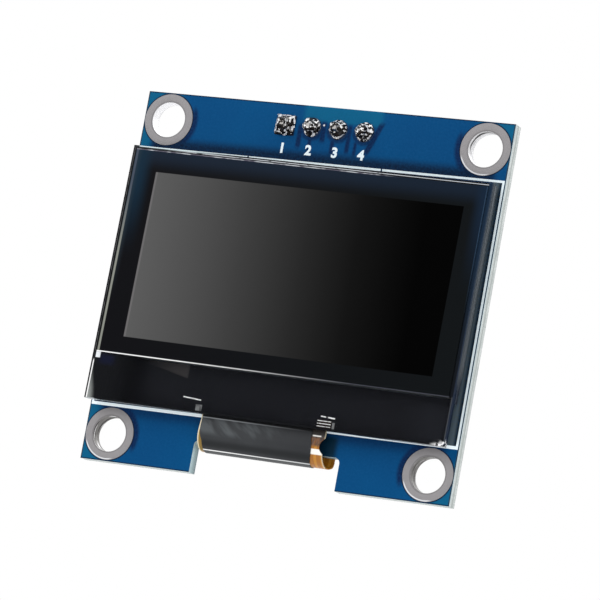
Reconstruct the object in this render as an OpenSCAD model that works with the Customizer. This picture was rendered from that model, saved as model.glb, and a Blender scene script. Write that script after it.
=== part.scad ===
// Small OLED display module, in millimetres.
// X runs along the board, Z runs up it, and the display faces -Y.
// The origin is the middle of the four mounting holes, on the board's back face.

/* [Board] */
// How far the board runs past the panel at each side
board_side = 0.45; // [0.3:0.05:2]
// How far the board runs past the panel at each end
board_end = 5.25; // [5:0.05:8]
// Finished thickness of the board, over both coats of solder mask
board_t = 1.2; // [0.8:0.1:1.6]
// Thickness of each coat of solder mask
mask_t = 0.03; // [0.02:0.005:0.05]
// How far the tinned copper stands above the solder mask
pad_rise = 0.02; // [0.01:0.005:0.04]
// Clearance at each side of the flex circuit in the notch that it folds through
notch_side = 1; // [0.5:0.1:2]
// Depth of that notch, up from the board's lower edge
notch_d = 2.9; // [2:0.1:3.2]
// Radius that the router leaves in the notch's inner corners
notch_r = 0.5; // [0.3:0.1:0.8]

/* [Mounting holes] */
// Finished diameter of a mounting hole
hole_d = 3.2; // [2.2:0.1:3.4]
// Width of the tinned ring round a mounting hole
ring_w = 0.73; // [0.4:0.01:0.9]
// Board left between a ring and the side of the board
ring_side = 0.07; // [0.05:0.01:1]
// Board left between a ring and the upper or lower edge of the board
ring_end = 0.12; // [0.05:0.01:1]
// Thickness of the plating inside a hole
plating_t = 0.05; // [0.03:0.01:0.08]

/* [Printed frame] */
// Board left between the white frame and the side of the board
print_side = 0.1; // [0.05:0.01:0.2]
// How far the frame stands above and below the panel
print_end = 0.28; // [0.2:0.02:0.4]
// How far below the middle of the board the middle of the frame lies
print_drop = 0.07; // [0:0.01:0.2]
// Clearance between the frame and the tinned rings
print_clear = 0.1; // [0.05:0.01:0.2]
// Width of its lines
print_line = 0.2; // [0.12:0.01:0.25]
// Width of its lower line
print_low_line = 0.28; // [0.12:0.02:0.4]
// Width of the two small breaks in its top line
print_break = 0.14; // [0.1:0.02:0.3]
// Thickness of the print
print_t = 0.015; // [0.01:0.005:0.03]

/* [Pin header] */
// Number of pins
pin_count = 4; // [2:1:6]
// Distance between the pins
pin_pitch = 2.54; // [2:0.01:2.6]
// Width of a square pin
pin_w = 0.64; // [0.5:0.02:0.66]
// Board left between the pads of the pins and the upper edge of the board
pin_edge = 1.05; // [0.4:0.05:2]
// How far the pins stand out of the front of the board
pin_front = 1.05; // [0.9:0.05:1.6]
// Length of the pins behind the header strip
pin_back = 6; // [4:0.1:9]
// Length of the taper at both ends of a pin
pin_taper = 0.35; // [0.2:0.05:0.5]
// Depth of the header strip
strip_t = 2.5; // [2:0.1:3]
// Chamfer at the corners of each of the strip's cells
strip_chamfer = 0.4; // [0.2:0.05:0.6]
// Gap between the corners of a pin and its plated hole
pin_clear = 0.0475; // [0.03:0.0025:0.1]
// Width of the pad round that hole
pin_ring_w = 0.4; // [0.2:0.05:0.5]
// Bare pin left above the solder on the front
pin_bare = 0.23; // [0.1:0.01:0.5]

/* [Display panel] */
// Width of both sheets of glass
panel_w = 34.5; // [33:0.1:34.8]
// Height of the front glass
panel_h = 23; // [22.6:0.1:23.2]
// How far the panel sits to the right of the board's middle
panel_x = -0.22; // [-0.3:0.01:0.3]
// How far the panel sits above the board's middle
panel_z = -0.24; // [-0.3:0.01:0.2]
// How far the panel is turned clockwise on the board, in degrees
panel_skew = 0.6; // [0:0.1:1]
// Thickness of the tape between the board and the panel
mount_tape_t = 0.25; // [0.15:0.05:0.6]
// How far that tape stays inside the rear glass
mount_tape_inset = 1.2; // [0.5:0.1:3]
// Thickness of the rear glass
rear_glass_t = 0.53; // [0.5:0.01:0.8]
// Thickness of the front glass
front_glass_t = 0.7; // [0.5:0.05:1]
// Bevel along the edges of the glass
glass_bevel = 0.06; // [0.03:0.01:0.1]
// Thickness of the seal between the sheets
seal_t = 0.02; // [0.015:0.001:0.03]
// Width of the seal
seal_w = 1.2; // [0.8:0.1:1.3]
// How far the seal stays inside the rear glass
seal_inset = 0.4; // [0.2:0.1:0.6]
// Thickness of the polarizer
polarizer_t = 0.2; // [0.1:0.05:0.3]
// How far the polarizer stays inside the front glass
polarizer_inset = 0.32; // [0.2:0.02:0.6]
// How far the polarizer stays above the lower edge of the rear glass
polarizer_back = 0.4; // [0.2:0.05:0.8]
// Thickness of the emitting layers
emitter_t = 0.01; // [0.005:0.001:0.012]
// Gap between the seal and the emitting layers, at each side
emitter_side = 0.94; // [0.2:0.02:2]
// Gap between the seal and the emitting layers, at the top
emitter_top = 0.7; // [0.2:0.05:2]
// Gap between the seal and the emitting layers, at the bottom
emitter_low = 0.6; // [0.2:0.05:2]
// Depth of the recess etched into the rear glass
recess_d = 0.25; // [0.2:0.01:0.3]
// Thickness of the desiccant sheet in that recess
desiccant_t = 0.15; // [0.1:0.01:0.18]
// How far the desiccant stays inside the recess
desiccant_inset = 1.5; // [0.5:0.1:3]

/* [Glass ledge] */
// Thickness of the black light shield behind the ledge
shield_t = 0.01; // [0.005:0.001:0.015]
// Clear glass left at each end of the light shield
shield_inset = 0.45; // [0.3:0.05:1.2]
// Width of the driver chip
chip_w = 12; // [9:0.1:13]
// Height of the driver chip
chip_h = 1.1; // [0.8:0.05:1.2]
// Thickness of the driver chip
chip_t = 0.3; // [0.2:0.05:0.4]
// Gap between the flex circuit's bond and the driver chip
chip_gap = 0.55; // [0.3:0.05:1]
// Gap between the driver chip and the rear glass
ledge_gap = 0.65; // [0.4:0.05:1]

/* [Flex circuit] */
// Width of the flex circuit where it folds
flex_w = 12; // [10:0.1:12.4]
// Thickness of the flex circuit
flex_t = 0.1; // [0.08:0.01:0.14]
// How far the flex circuit sits to the right of the panel's middle
flex_x = 0; // [-0.3:0.05:0.3]
// Length of the flex circuit bonded behind the glass ledge
bond_h = 1.5; // [1:0.1:1.7]
// How far the flex circuit leans out below the glass, in degrees
lean = 8; // [2:1:15]
// Radius at which it starts to lean out
lean_r = 3; // [2:0.1:4]
// Radius at the back of the fold
fold_back_r = 0.7; // [0.4:0.05:0.8]
// Clearance between the fold and the upper edge of the notch
fold_clear = 0.05; // [0.02:0.01:0.2]
// Radius of the small cut-out in the flex circuit's right edge
neck_r = 0.75; // [0.5:0.05:1]
// Depth of that cut-out
neck_d = 0.5; // [0.2:0.05:0.7]
// Distance from the glass's lower edge down to the middle of the cut-out
neck_drop = 1.5; // [1.2:0.05:1.6]
// Thickness of the grey tape over the fold
fold_tape_t = 0.06; // [0.04:0.01:0.1]
// Amber left bare beside the tape, on the left
fold_tape_left = 0.15; // [0.05:0.05:0.5]
// Amber left bare beside the tape, on the right
fold_tape_gap = 1.3; // [0.5:0.1:2]
// How far the tape runs up the back
fold_tape_back = 2.2; // [1:0.1:2.4]

/* [Flex tail] */
// Number of soldered contacts
contact_count = 30; // [20:1:31]
// Distance between the contacts
contact_pitch = 0.7; // [0.6:0.02:0.7]
// Width of a contact
contact_w = 0.36; // [0.25:0.01:0.4]
// Length of a contact on the flex circuit
contact_l = 1.8; // [1:0.1:2.4]
// Thickness of a contact
contact_t = 0.02; // [0.015:0.005:0.04]
// Bare flex circuit past the outer contacts
tail_margin = 0.5; // [0.3:0.05:0.8]
// Height of the wide part of the tail
tail_bar_h = 4; // [3:0.1:4.4]
// Distance from the board's lower edge up to the tail's upper edge
tail_rise = 11.75; // [10.5:0.05:12.5]
// Radius of the tail's outer corners
tail_corner_r = 0.5; // [0.2:0.1:0.9]
// Radius where the tail's neck widens
tail_fillet_r = 1; // [0.5:0.1:1.4]
// Board pad past the tail's upper edge
land_past = 0.8; // [0.5:0.1:1]
// Board pad under the tail
land_under = 1.6; // [1:0.1:2]

/* [Chip parts] */
// Length of a chip resistor or capacitor
chip_part_l = 1.6; // [1.4:0.05:1.7]
// Width of a chip resistor or capacitor
chip_part_w = 0.8; // [0.6:0.05:0.9]
// Height of a resistor
resistor_t = 0.45; // [0.35:0.05:0.55]
// Height of a capacitor
capacitor_t = 0.8; // [0.6:0.05:0.9]
// Metal left bare above the solder on a resistor
resistor_bare = 0.09; // [0.05:0.01:0.2]
// Metal left bare above the solder on a capacitor
capacitor_bare = 0.32; // [0.1:0.01:0.5]
// Length of a metal end
end_l = 0.3; // [0.2:0.05:0.4]
// How far the metal ends stand proud of the body
end_proud = 0.02; // [0.01:0.005:0.04]
// How far a board pad runs in past a metal end
land_in = 0.2; // [0.1:0.05:0.25]
// How far a board pad runs out past a metal end
land_out = 0.45; // [0.3:0.05:0.5]
// How far a board pad runs past a metal end at each side
land_side = 0.05; // [0.02:0.01:0.1]

/* [Regulator] */
// Length of the regulator's body
reg_l = 2.92; // [2.8:0.02:3.1]
// Width of its body
reg_w = 1.3; // [1.2:0.05:1.4]
// Height of its body
reg_t = 1; // [0.9:0.05:1.1]
// Gap under its body
reg_gap = 0.1; // [0.05:0.01:0.15]
// Draft of its moulded sides
reg_draft = 0.08; // [0.04:0.01:0.12]
// Distance between its two leads on one side
reg_pitch = 1.9; // [1.8:0.05:2]
// Width of a lead
lead_w = 0.42; // [0.35:0.01:0.5]
// Thickness of a lead
lead_t = 0.13; // [0.1:0.01:0.15]
// Length of a lead out of the body
lead_reach = 0.55; // [0.5:0.05:0.7]
// Board pad past the end of a lead
lead_land_out = 0.3; // [0.2:0.05:0.4]
// Board pad under a lead
lead_land_in = 0.6; // [0.4:0.05:0.7]
// How far that pad runs past the lead at each side
lead_land_side = 0.125; // [0.05:0.005:0.15]

/* [Hidden] */
$fn = 96;
HOLE_COUNT = 4;
overcut = 1;

// Parts on the back: distance right of the middle, height above the tail, and turn in degrees
resistor_at = [[-11.6, 11.2, 90], [-9.4, 11.2, 90], [-7.2, 11.2, 90],
               [-5, 11.2, 90], [-11.6, 6.6, 0], [-7.8, 6.6, 0]];
capacitor_at = [[-9.1, 3.3, 90], [-6.3, 3.3, 90], [-3.5, 3.3, 90], [-0.7, 3.3, 90],
                [2.1, 3.3, 90], [4.9, 3.3, 90], [3.4, 13.6, 90], [12.2, 11.9, 90]];
reg_at = [8, 12.2, 0];

// The board, its frame and its notch, round the panel and the flex circuit
board_w = panel_w + 2 * board_side;
board_h = panel_h + 2 * board_end;
print_w = board_w - 2 * print_side;
print_h = panel_h + 2 * print_end;
notch_w = flex_w + 2 * notch_side;

// The mounting holes, in the board's corners
ring_d = hole_d + 2 * ring_w;
hole_dx = board_w - ring_d - 2 * ring_side;
hole_dz = board_h - ring_d - 2 * ring_end;

// The pin row
pin_hole_d = pin_w * sqrt(2) + 2 * pin_clear;
pin_pad_d = pin_hole_d + 2 * pin_ring_w;
pin_z = (board_h - pin_pad_d) / 2 - pin_edge;
joint_h = pin_front - pin_bare - pad_rise;

// Heights of the panel's layers, out from the front of the board
rear_glass_y = mount_tape_t;
seal_y = rear_glass_y + rear_glass_t;
front_glass_y = seal_y + seal_t;
polarizer_y = front_glass_y + front_glass_t;

// Edges of the panel's layers, from the middle of the front glass
glass_top = panel_h / 2;
glass_low = -panel_h / 2;
chip_low = glass_low + bond_h + chip_gap;
rear_glass_low = chip_low + chip_h + ledge_gap;
rear_glass_h = glass_top - rear_glass_low;
polarizer_low = rear_glass_low + polarizer_back;
polarizer_w = panel_w - 2 * polarizer_inset;
polarizer_h = glass_top - polarizer_inset - polarizer_low;
seal_outer_w = panel_w - 2 * seal_inset;
seal_outer_h = rear_glass_h - 2 * seal_inset;
rear_glass_mid = (glass_top + rear_glass_low) / 2;
recess_w = seal_outer_w - 2 * seal_w;
recess_h = seal_outer_h - 2 * seal_w;
emitter_w = recess_w - 2 * emitter_side;
emitter_h = recess_h - emitter_top - emitter_low;
emitter_mid = rear_glass_mid + (emitter_low - emitter_top) / 2;
shield_gap = 0.05;
shield_top = rear_glass_low + seal_inset - shield_gap;
shield_low = glass_low + glass_bevel;

// Metal marks on the ledge: place from the middle of the glass's lower edge, size and turn
mark_at = [[-7.24, 1.28, 1.75, 0.1, -4], [-6.46, 0.47, 0.6, 0.7, 0],
           [5.45, 1.24, 0.5, 0.1, -4], [6.2, 1.2, 0.7, 0.12, -4],
           [5.6, 0.86, 1.3, 0.07, 0], [5.6, 0.62, 1.3, 0.07, 0],
           [5.6, 0.38, 1.3, 0.07, 0], [6.5, 0.47, 0.22, 0.7, 0]];

// The flex circuit's path in the plane across the fold, through the middle of its thickness:
// flat on the glass, leaning out, straight, round the front of the fold and round its back
bond_y = -(board_t + front_glass_y - shield_t - flex_t / 2);
back_y = pad_rise + flex_t / 2;
notch_top = -board_h / 2 + notch_d;
skew_drop = flex_w / 2 * sin(panel_skew);
fold_back_z = notch_top - fold_clear - panel_z - skew_drop;
fold_low_z = fold_back_z - fold_back_r;
fold_low_y = back_y - fold_back_r;
lean_out = lean_r * (1 - cos(lean));

// The front radius and the straight run that close the path between the glass and the back
gap_y = fold_low_y - (bond_y - lean_out);
gap_z = glass_low - lean_r * sin(lean) - fold_low_z;
fold_front_r = (gap_y * cos(lean) + gap_z * sin(lean)) / (1 + sin(lean));
lean_run = (gap_z - fold_front_r * (1 + sin(lean))) / cos(lean);

tail_w = (contact_count - 1) * contact_pitch + contact_w + 2 * tail_margin;
tail_top = -board_h / 2 + tail_rise;
tail_low = tail_top - tail_bar_h;
land_l = land_in + end_l + land_out;
land_w = chip_part_w + 2 * land_side;
land_gap = chip_part_l - 2 * (end_l + land_in);

pin_row_x = [for (i = [1:pin_count]) (i - (pin_count + 1) / 2) * pin_pitch];
hole_xz = [[-hole_dx / 2, hole_dz / 2], [hole_dx / 2, hole_dz / 2],
           [-hole_dx / 2, -hole_dz / 2], [hole_dx / 2, -hole_dz / 2]];

// ---- Where things go ----

// A flat shape, seen from the front, made a slab from a height above the board's front
module front_slab(up, t) {
    translate([0, -(board_t + up), 0]) rotate([90, 0, 0]) linear_extrude(t) children();
}

// The same, from a distance behind the board's back
module rear_slab(back, t) {
    translate([0, back + t, 0]) rotate([90, 0, 0]) linear_extrude(t) children();
}

// The panel's own place on the board
module in_panel() {
    translate([panel_x, 0, panel_z]) rotate([0, panel_skew, 0]) children();
}

// A chip part's place on the back: local Z points out of the board
module on_rear(at) {
    translate([at[0], pad_rise, tail_top + at[1]]) {
        rotate([-90, 0, 0]) rotate([0, 0, at[2]]) children();
    }
}

// The same place in a flat drawing
module on_rear_flat(at) {
    translate([at[0], tail_top + at[1]]) rotate(-at[2]) children();
}

// ---- Board ----

// The notch in the board's lower edge, round in its two inner corners
module notch_flat() {
    r = notch_r;
    translate([0, -board_h / 2 - overcut]) {
        translate([-notch_w / 2, 0]) square([notch_w, notch_d + overcut - r]);
        translate([-notch_w / 2 + r, 0]) square([notch_w - 2 * r, notch_d + overcut]);
        for (x = [-1, 1]) translate([x * (notch_w / 2 - r), notch_d + overcut - r]) circle(r);
    }
}

module board_flat() {
    difference() {
        square([board_w, board_h], center = true);
        notch_flat();
    }
}

module mounting_holes_flat(d) {
    for (p = hole_xz) translate(p) circle(d = d);
}

// Pad round a pin: the first is square, as the first pin's is
module pin_pad_flat(i) {
    translate([pin_row_x[i - 1], pin_z]) {
        if (i == 1) square(pin_pad_d, center = true);
        else circle(d = pin_pad_d);
    }
}

module chip_lands_flat() {
    for (s = [-1, 1]) translate([s * (land_gap + land_l) / 2, 0]) square([land_l, land_w], center = true);
}

lead_foot = reg_w / 2 + lead_reach;

module lead_land_flat() {
    translate([-lead_w / 2 - lead_land_side, lead_foot - lead_land_in]) {
        square([lead_w + 2 * lead_land_side, lead_land_in + lead_land_out]);
    }
}

module reg_lands_flat() {
    lead_land_flat();
    for (x = [-reg_pitch / 2, reg_pitch / 2]) translate([x, 0]) mirror([0, 1]) lead_land_flat();
}

module contact_places() {
    for (i = [1:contact_count]) {
        translate([(i - (contact_count + 1) / 2) * contact_pitch, 0]) children();
    }
}

module tail_lands_flat() {
    contact_places() translate([-contact_w / 2, tail_top - land_under]) {
        square([contact_w, land_under + land_past]);
    }
}

module rear_lands_flat() {
    for (at = resistor_at) on_rear_flat(at) chip_lands_flat();
    for (at = capacitor_at) on_rear_flat(at) chip_lands_flat();
    on_rear_flat(reg_at) reg_lands_flat();
    tail_lands_flat();
}

module circuit_board() {
    color([0.72, 0.78, 0.7])
    front_slab(-(board_t - mask_t), board_t - 2 * mask_t) difference() {
        board_flat();
        mounting_holes_flat(hole_d + 2 * plating_t);
        for (x = pin_row_x) translate([x, pin_z]) circle(d = pin_hole_d + 2 * plating_t);
    }
}

module front_mask() {
    color([0.05, 0.3, 0.5])
    front_slab(-mask_t, mask_t) difference() {
        board_flat();
        mounting_holes_flat(ring_d);
        for (i = [1:pin_count]) pin_pad_flat(i);
    }
}

module rear_mask() {
    color([0.05, 0.3, 0.5])
    rear_slab(-mask_t, mask_t) difference() {
        board_flat();
        mounting_holes_flat(ring_d);
        for (i = [1:pin_count]) pin_pad_flat(i);
        rear_lands_flat();
    }
}

// White frame round the display, with the two small breaks of its top line
print_break_x = [-6.9, 6];

module board_print() {
    color("white")
    front_slab(0, print_t) difference() {
        translate([0, -print_drop]) difference() {
            square([print_w, print_h], center = true);
            translate([-print_w / 2 + print_line, -print_h / 2 + print_low_line]) {
                square([print_w - 2 * print_line, print_h - print_line - print_low_line]);
            }
            for (x = print_break_x) translate([x, print_h / 2]) {
                square([print_break, 2 * print_line + overcut], center = true);
            }
        }
        mounting_holes_flat(ring_d + 2 * print_clear);
    }
}

// Plated hole: a thin barrel with a pad on each face of the laminate
pad_t = mask_t + pad_rise;

module plated_hole(d, outer_flat_d) {
    difference() {
        union() {
            rear_slab(-board_t - pad_rise, board_t + 2 * pad_rise) circle(d = d + 2 * plating_t);
            rear_slab(-mask_t, pad_t) circle(d = outer_flat_d);
            rear_slab(-board_t - pad_rise, pad_t) circle(d = outer_flat_d);
        }
        rear_slab(-board_t - overcut, board_t + 2 * overcut) circle(d = d);
    }
}

module hole_plating(i) {
    at = hole_xz[i - 1];
    color([0.66, 0.66, 0.66]) translate([at[0], 0, at[1]]) plated_hole(hole_d, ring_d);
}

module pin_plating(i) {
    color([0.66, 0.66, 0.66]) difference() {
        union() {
            rear_slab(-board_t - pad_rise, board_t + 2 * pad_rise) {
                translate([pin_row_x[i - 1], pin_z]) circle(d = pin_hole_d + 2 * plating_t);
            }
            rear_slab(-mask_t, pad_t) pin_pad_flat(i);
            rear_slab(-board_t - pad_rise, pad_t) pin_pad_flat(i);
        }
        rear_slab(-board_t - overcut, board_t + 2 * overcut) {
            translate([pin_row_x[i - 1], pin_z]) circle(d = pin_hole_d);
        }
    }
}

module rear_pads() {
    color([0.75, 0.75, 0.74]) rear_slab(-mask_t, pad_t) rear_lands_flat();
}

// ---- Pin header ----

pin_top_y = -(board_t + pin_front);
pin_end_y = pad_rise + strip_t + pin_back;

// Long section of a pin, tapered at both ends
module pin_section() {
    half = pin_w / 2;
    tip = half / 2;
    polygon([[-tip, pin_top_y], [tip, pin_top_y], [half, pin_top_y + pin_taper],
             [half, pin_end_y - pin_taper], [tip, pin_end_y], [-tip, pin_end_y],
             [-half, pin_end_y - pin_taper], [-half, pin_top_y + pin_taper]]);
}

module header_pin(i) {
    color([0.85, 0.76, 0.45]) translate([pin_row_x[i - 1], 0, pin_z]) intersection() {
        translate([0, 0, -pin_w / 2]) linear_extrude(pin_w) pin_section();
        translate([-pin_w / 2, 0, 0]) rotate([90, 0, 90]) linear_extrude(pin_w) {
            mirror([1, -1]) pin_section();
        }
    }
}

// One cell of the strip: a square with its corners cut
module strip_cell_flat() {
    half = pin_pitch / 2;
    c = strip_chamfer;
    polygon([[-half, -half + c], [-half + c, -half], [half - c, -half], [half, -half + c],
             [half, half - c], [half - c, half], [-half + c, half], [-half, half - c]]);
}

module header_strip() {
    color([0.07, 0.07, 0.07]) rear_slab(pad_rise, strip_t) difference() {
        for (x = pin_row_x) translate([x, pin_z]) strip_cell_flat();
        for (x = pin_row_x) translate([x, pin_z]) square(pin_w, center = true);
    }
}

// Solder: fills the plated hole and climbs the pin on the front
joint_inset = 0.03;
joint_rim = 0.04;
joint_top_r = pin_hole_d / 2;
joint_base_r = pin_pad_d / 2 - joint_inset;

module joint_section() {
    reach = joint_base_r - joint_top_r;
    climb = joint_h - joint_rim;
    r = (reach * reach + climb * climb) / (2 * climb);
    difference() {
        square([joint_base_r, joint_h]);
        translate([joint_base_r, joint_rim + r]) circle(r);
    }
}

module solder_joint(i) {
    color([0.78, 0.78, 0.77]) difference() {
        translate([pin_row_x[i - 1], 0, pin_z]) union() {
            translate([0, -board_t - pad_rise, 0]) rotate([90, 0, 0]) rotate_extrude() joint_section();
            rear_slab(-board_t - pad_rise, board_t + 2 * pad_rise) circle(d = pin_hole_d);
        }
        rear_slab(-board_t - pad_rise - joint_h - overcut, board_t + joint_h + 3 * overcut) {
            translate([pin_row_x[i - 1], pin_z]) square(pin_w, center = true);
        }
    }
}

// ---- Display panel ----

// A sheet of glass with its four long edges bevelled on both faces
module glass_sheet(up, t, w, h, mid) {
    b = glass_bevel;
    in_panel() intersection() {
        front_slab(up, t) translate([0, mid]) square([w, h], center = true);
        translate([0, 0, mid - h / 2]) linear_extrude(h) {
            translate([0, -board_t - up]) mirror([0, 1]) polygon([
                [-w / 2 + b, 0], [w / 2 - b, 0], [w / 2, b], [w / 2, t - b],
                [w / 2 - b, t], [-w / 2 + b, t], [-w / 2, t - b], [-w / 2, b]]);
        }
        translate([-w / 2, 0, mid]) rotate([90, 0, 90]) linear_extrude(w) {
            translate([-board_t - up, 0]) mirror([1, 0]) polygon([
                [0, -h / 2 + b], [b, -h / 2], [t - b, -h / 2], [t, -h / 2 + b],
                [t, h / 2 - b], [t - b, h / 2], [b, h / 2], [0, h / 2 - b]]);
        }
    }
}

module mounting_tape() {
    color([0.9, 0.9, 0.88]) in_panel() front_slab(0, mount_tape_t) translate([0, rear_glass_mid]) {
        square([panel_w - 2 * mount_tape_inset, rear_glass_h - 2 * mount_tape_inset], center = true);
    }
}

module rear_glass() {
    color([0.6, 0.7, 0.7]) difference() {
        glass_sheet(rear_glass_y, rear_glass_t, panel_w, rear_glass_h, rear_glass_mid);
        in_panel() front_slab(seal_y - recess_d, recess_d + overcut) translate([0, rear_glass_mid]) {
            square([recess_w, recess_h], center = true);
        }
    }
}

module desiccant() {
    color([0.85, 0.85, 0.8]) in_panel() front_slab(seal_y - recess_d, desiccant_t) {
        translate([0, rear_glass_mid]) {
            square([recess_w - 2 * desiccant_inset, recess_h - 2 * desiccant_inset], center = true);
        }
    }
}

module seal() {
    color([0.35, 0.38, 0.38]) in_panel() front_slab(seal_y, seal_t) translate([0, rear_glass_mid]) {
        difference() {
            square([seal_outer_w, seal_outer_h], center = true);
            square([recess_w, recess_h], center = true);
        }
    }
}

module emitter_layers() {
    color([0.2, 0.2, 0.22]) in_panel() front_slab(front_glass_y - emitter_t, emitter_t) {
        translate([0, emitter_mid]) square([emitter_w, emitter_h], center = true);
    }
}

module front_glass() {
    color([0.6, 0.7, 0.7]) glass_sheet(front_glass_y, front_glass_t, panel_w, panel_h, 0);
}

module polarizer() {
    color([0.08, 0.08, 0.09]) in_panel() front_slab(polarizer_y, polarizer_t) {
        translate([-polarizer_w / 2, polarizer_low]) square([polarizer_w, polarizer_h]);
    }
}

module marks_flat() {
    for (m = mark_at) translate([m[0], glass_low + m[1]]) rotate(m[4]) {
        square([m[2], m[3]], center = true);
    }
}

module light_shield() {
    color([0.06, 0.06, 0.07]) in_panel() front_slab(front_glass_y - shield_t, shield_t) difference() {
        translate([-panel_w / 2 + shield_inset, shield_low]) {
            square([panel_w - 2 * shield_inset, shield_top - shield_low]);
        }
        marks_flat();
    }
}

module glass_marks() {
    color([0.8, 0.8, 0.8]) in_panel() front_slab(front_glass_y - shield_t, shield_t) marks_flat();
}

module driver_chip() {
    color([0.25, 0.25, 0.28]) in_panel() front_slab(front_glass_y - shield_t - chip_t, chip_t) {
        translate([-chip_w / 2, chip_low]) square([chip_w, chip_h]);
    }
}

// ---- Flex circuit ----

// The stretches of a folded layer run into each other by this much
seam = 0.01;

module ring_flat(inner_r, outer_r) {
    difference() {
        circle(outer_r);
        circle(inner_r);
    }
}

// Section across the fold of a layer that is t thick and lies out from the flex circuit's middle
module fold_section(out, t, bond, back) {
    big = 3 * (fold_front_r + lean_r);
    low = out - t / 2;
    high = out + t / 2;
    // flat against the glass
    if (bond > 0) translate([bond_y - high, glass_low - seam]) square([t, bond + seam]);
    // leaning out
    translate([bond_y - lean_r, glass_low]) intersection() {
        ring_flat(lean_r - high, lean_r - low);
        polygon([[0, 0], [big, 0], [big, -big * tan(lean)]]);
    }
    // straight run
    translate([bond_y - lean_out, glass_low - lean_r * sin(lean)]) rotate(-lean) {
        translate([-high, -lean_run - seam]) square([t, lean_run + 2 * seam]);
    }
    // front of the fold
    translate([fold_low_y, fold_low_z + fold_front_r]) intersection() {
        ring_flat(fold_front_r + low, fold_front_r + high);
        polygon([[0, 0], [0, -big], [-big, -big], [-big, big * tan(lean)]]);
    }
    // back of the fold
    translate([fold_low_y, fold_back_z]) intersection() {
        ring_flat(fold_back_r + low, fold_back_r + high);
        translate([-seam, -big]) square([big, big + seam]);
    }
    // up the back
    translate([back_y + low, fold_back_z]) square([t, back]);
}

module fold_band(out, t, bond, back, x0, x1) {
    in_panel() translate([x0, 0, 0]) rotate([90, 0, 90]) linear_extrude(x1 - x0) {
        fold_section(out, t, bond, back);
    }
}

flex_left = flex_x - flex_w / 2;
flex_right = flex_x + flex_w / 2;
tail_overlap = 0.3;

// Tail on the back, seen from the front: the neck keeps the panel's turn and the bar is square
module tail_flat() {
    r = tail_corner_r;
    translate([-tail_w / 2, tail_low + r]) square([tail_w, tail_bar_h - 2 * r]);
    translate([-tail_w / 2 + r, tail_low]) square([tail_w - 2 * r, tail_bar_h]);
    for (x = [-1, 1], z = [tail_low + r, tail_top - r]) {
        translate([x * (tail_w / 2 - r), z]) circle(r);
    }
    translate([panel_x, panel_z]) rotate(-panel_skew) {
        translate([flex_left, fold_back_z]) {
            square([flex_w, tail_low + tail_overlap - fold_back_z - panel_z]);
        }
    }
    // the widening at both sides of the neck
    f = tail_fillet_r;
    shift = panel_x + (tail_low - panel_z) * sin(panel_skew);
    for (s = [-1, 1]) translate([shift + flex_x + s * flex_w / 2, tail_low]) mirror([s < 0 ? 1 : 0, 0]) {
        difference() {
            translate([-tail_overlap, -f]) square([f + tail_overlap, f + tail_overlap]);
            translate([f, -f]) circle(f);
        }
    }
}

module flex_circuit() {
    color([0.72, 0.47, 0.16]) {
        difference() {
            fold_band(0, flex_t, bond_h, tail_overlap, flex_left, flex_right);
            in_panel() translate([flex_right + neck_r - neck_d, -board_t, glass_low - neck_drop]) {
                rotate([90, 0, 0]) cylinder(r = neck_r, h = front_glass_y + overcut);
            }
        }
        rear_slab(pad_rise, flex_t) tail_flat();
    }
}

module fold_tape() {
    out = (flex_t + fold_tape_t) / 2;
    color([0.3, 0.31, 0.32]) {
        fold_band(out, fold_tape_t, 0, fold_tape_back,
                  flex_left + fold_tape_left, flex_right - fold_tape_gap);
    }
}

module flex_contacts() {
    color([0.8, 0.78, 0.74]) rear_slab(pad_rise + flex_t, contact_t) contact_places() {
        translate([-contact_w / 2, tail_top - contact_l]) square([contact_w, contact_l]);
    }
}

// A fillet of solder: from a wall of some height down to a pad, hollow in four steps
solder_rim = 0.2;
solder_steps = 4;

module fillet_flat(reach, rise) {
    polygon(concat([[0, 0], [reach, 0]], [for (i = [solder_steps:-1:0]) let (x = i / solder_steps)
        [x * reach, rise * (solder_rim + (1 - solder_rim) * pow(1 - x, 2))]]));
}

module flex_solder() {
    color([0.8, 0.8, 0.79]) contact_places() {
        translate([contact_w / 2, pad_rise, tail_top]) rotate([0, -90, 0]) {
            linear_extrude(contact_w) fillet_flat(land_past, flex_t + contact_t);
        }
    }
}

// ---- Parts on the back ----

module chip_part(t) {
    body_l = chip_part_l - 2 * end_l;
    translate([-body_l / 2, -chip_part_w / 2 + end_proud, end_proud]) {
        cube([body_l, chip_part_w - 2 * end_proud, t - 2 * end_proud]);
    }
    for (x = [-chip_part_l / 2, chip_part_l / 2 - end_l]) {
        translate([x, -chip_part_w / 2, 0]) cube([end_l, chip_part_w, t]);
    }
}

module resistor(i) {
    color([0.12, 0.12, 0.12]) on_rear(resistor_at[i - 1]) chip_part(resistor_t);
}

module capacitor(i) {
    color([0.66, 0.53, 0.38]) on_rear(capacitor_at[i - 1]) chip_part(capacitor_t);
}

// Upright section of the moulded body: drafted above and below the leads
reg_mid = reg_gap + reg_t / 2;

module reg_section(w) {
    a = w / 2;
    polygon([[-a + reg_draft, reg_gap], [a - reg_draft, reg_gap], [a, reg_mid - lead_t / 2],
             [a, reg_mid + lead_t / 2], [a - reg_draft, reg_gap + reg_t],
             [-a + reg_draft, reg_gap + reg_t], [-a, reg_mid + lead_t / 2],
             [-a, reg_mid - lead_t / 2]]);
}

module regulator_body() {
    color([0.1, 0.1, 0.1]) on_rear(reg_at) intersection() {
        translate([0, reg_w / 2, 0]) rotate([90, 0, 0]) linear_extrude(reg_w) reg_section(reg_l);
        translate([-reg_l / 2, 0, 0]) rotate([90, 0, 90]) linear_extrude(reg_l) reg_section(reg_w);
    }
}

// A gull-wing lead, drawn out from the body's side
knee = 0.1;
knee_slope = 0.05;

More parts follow.
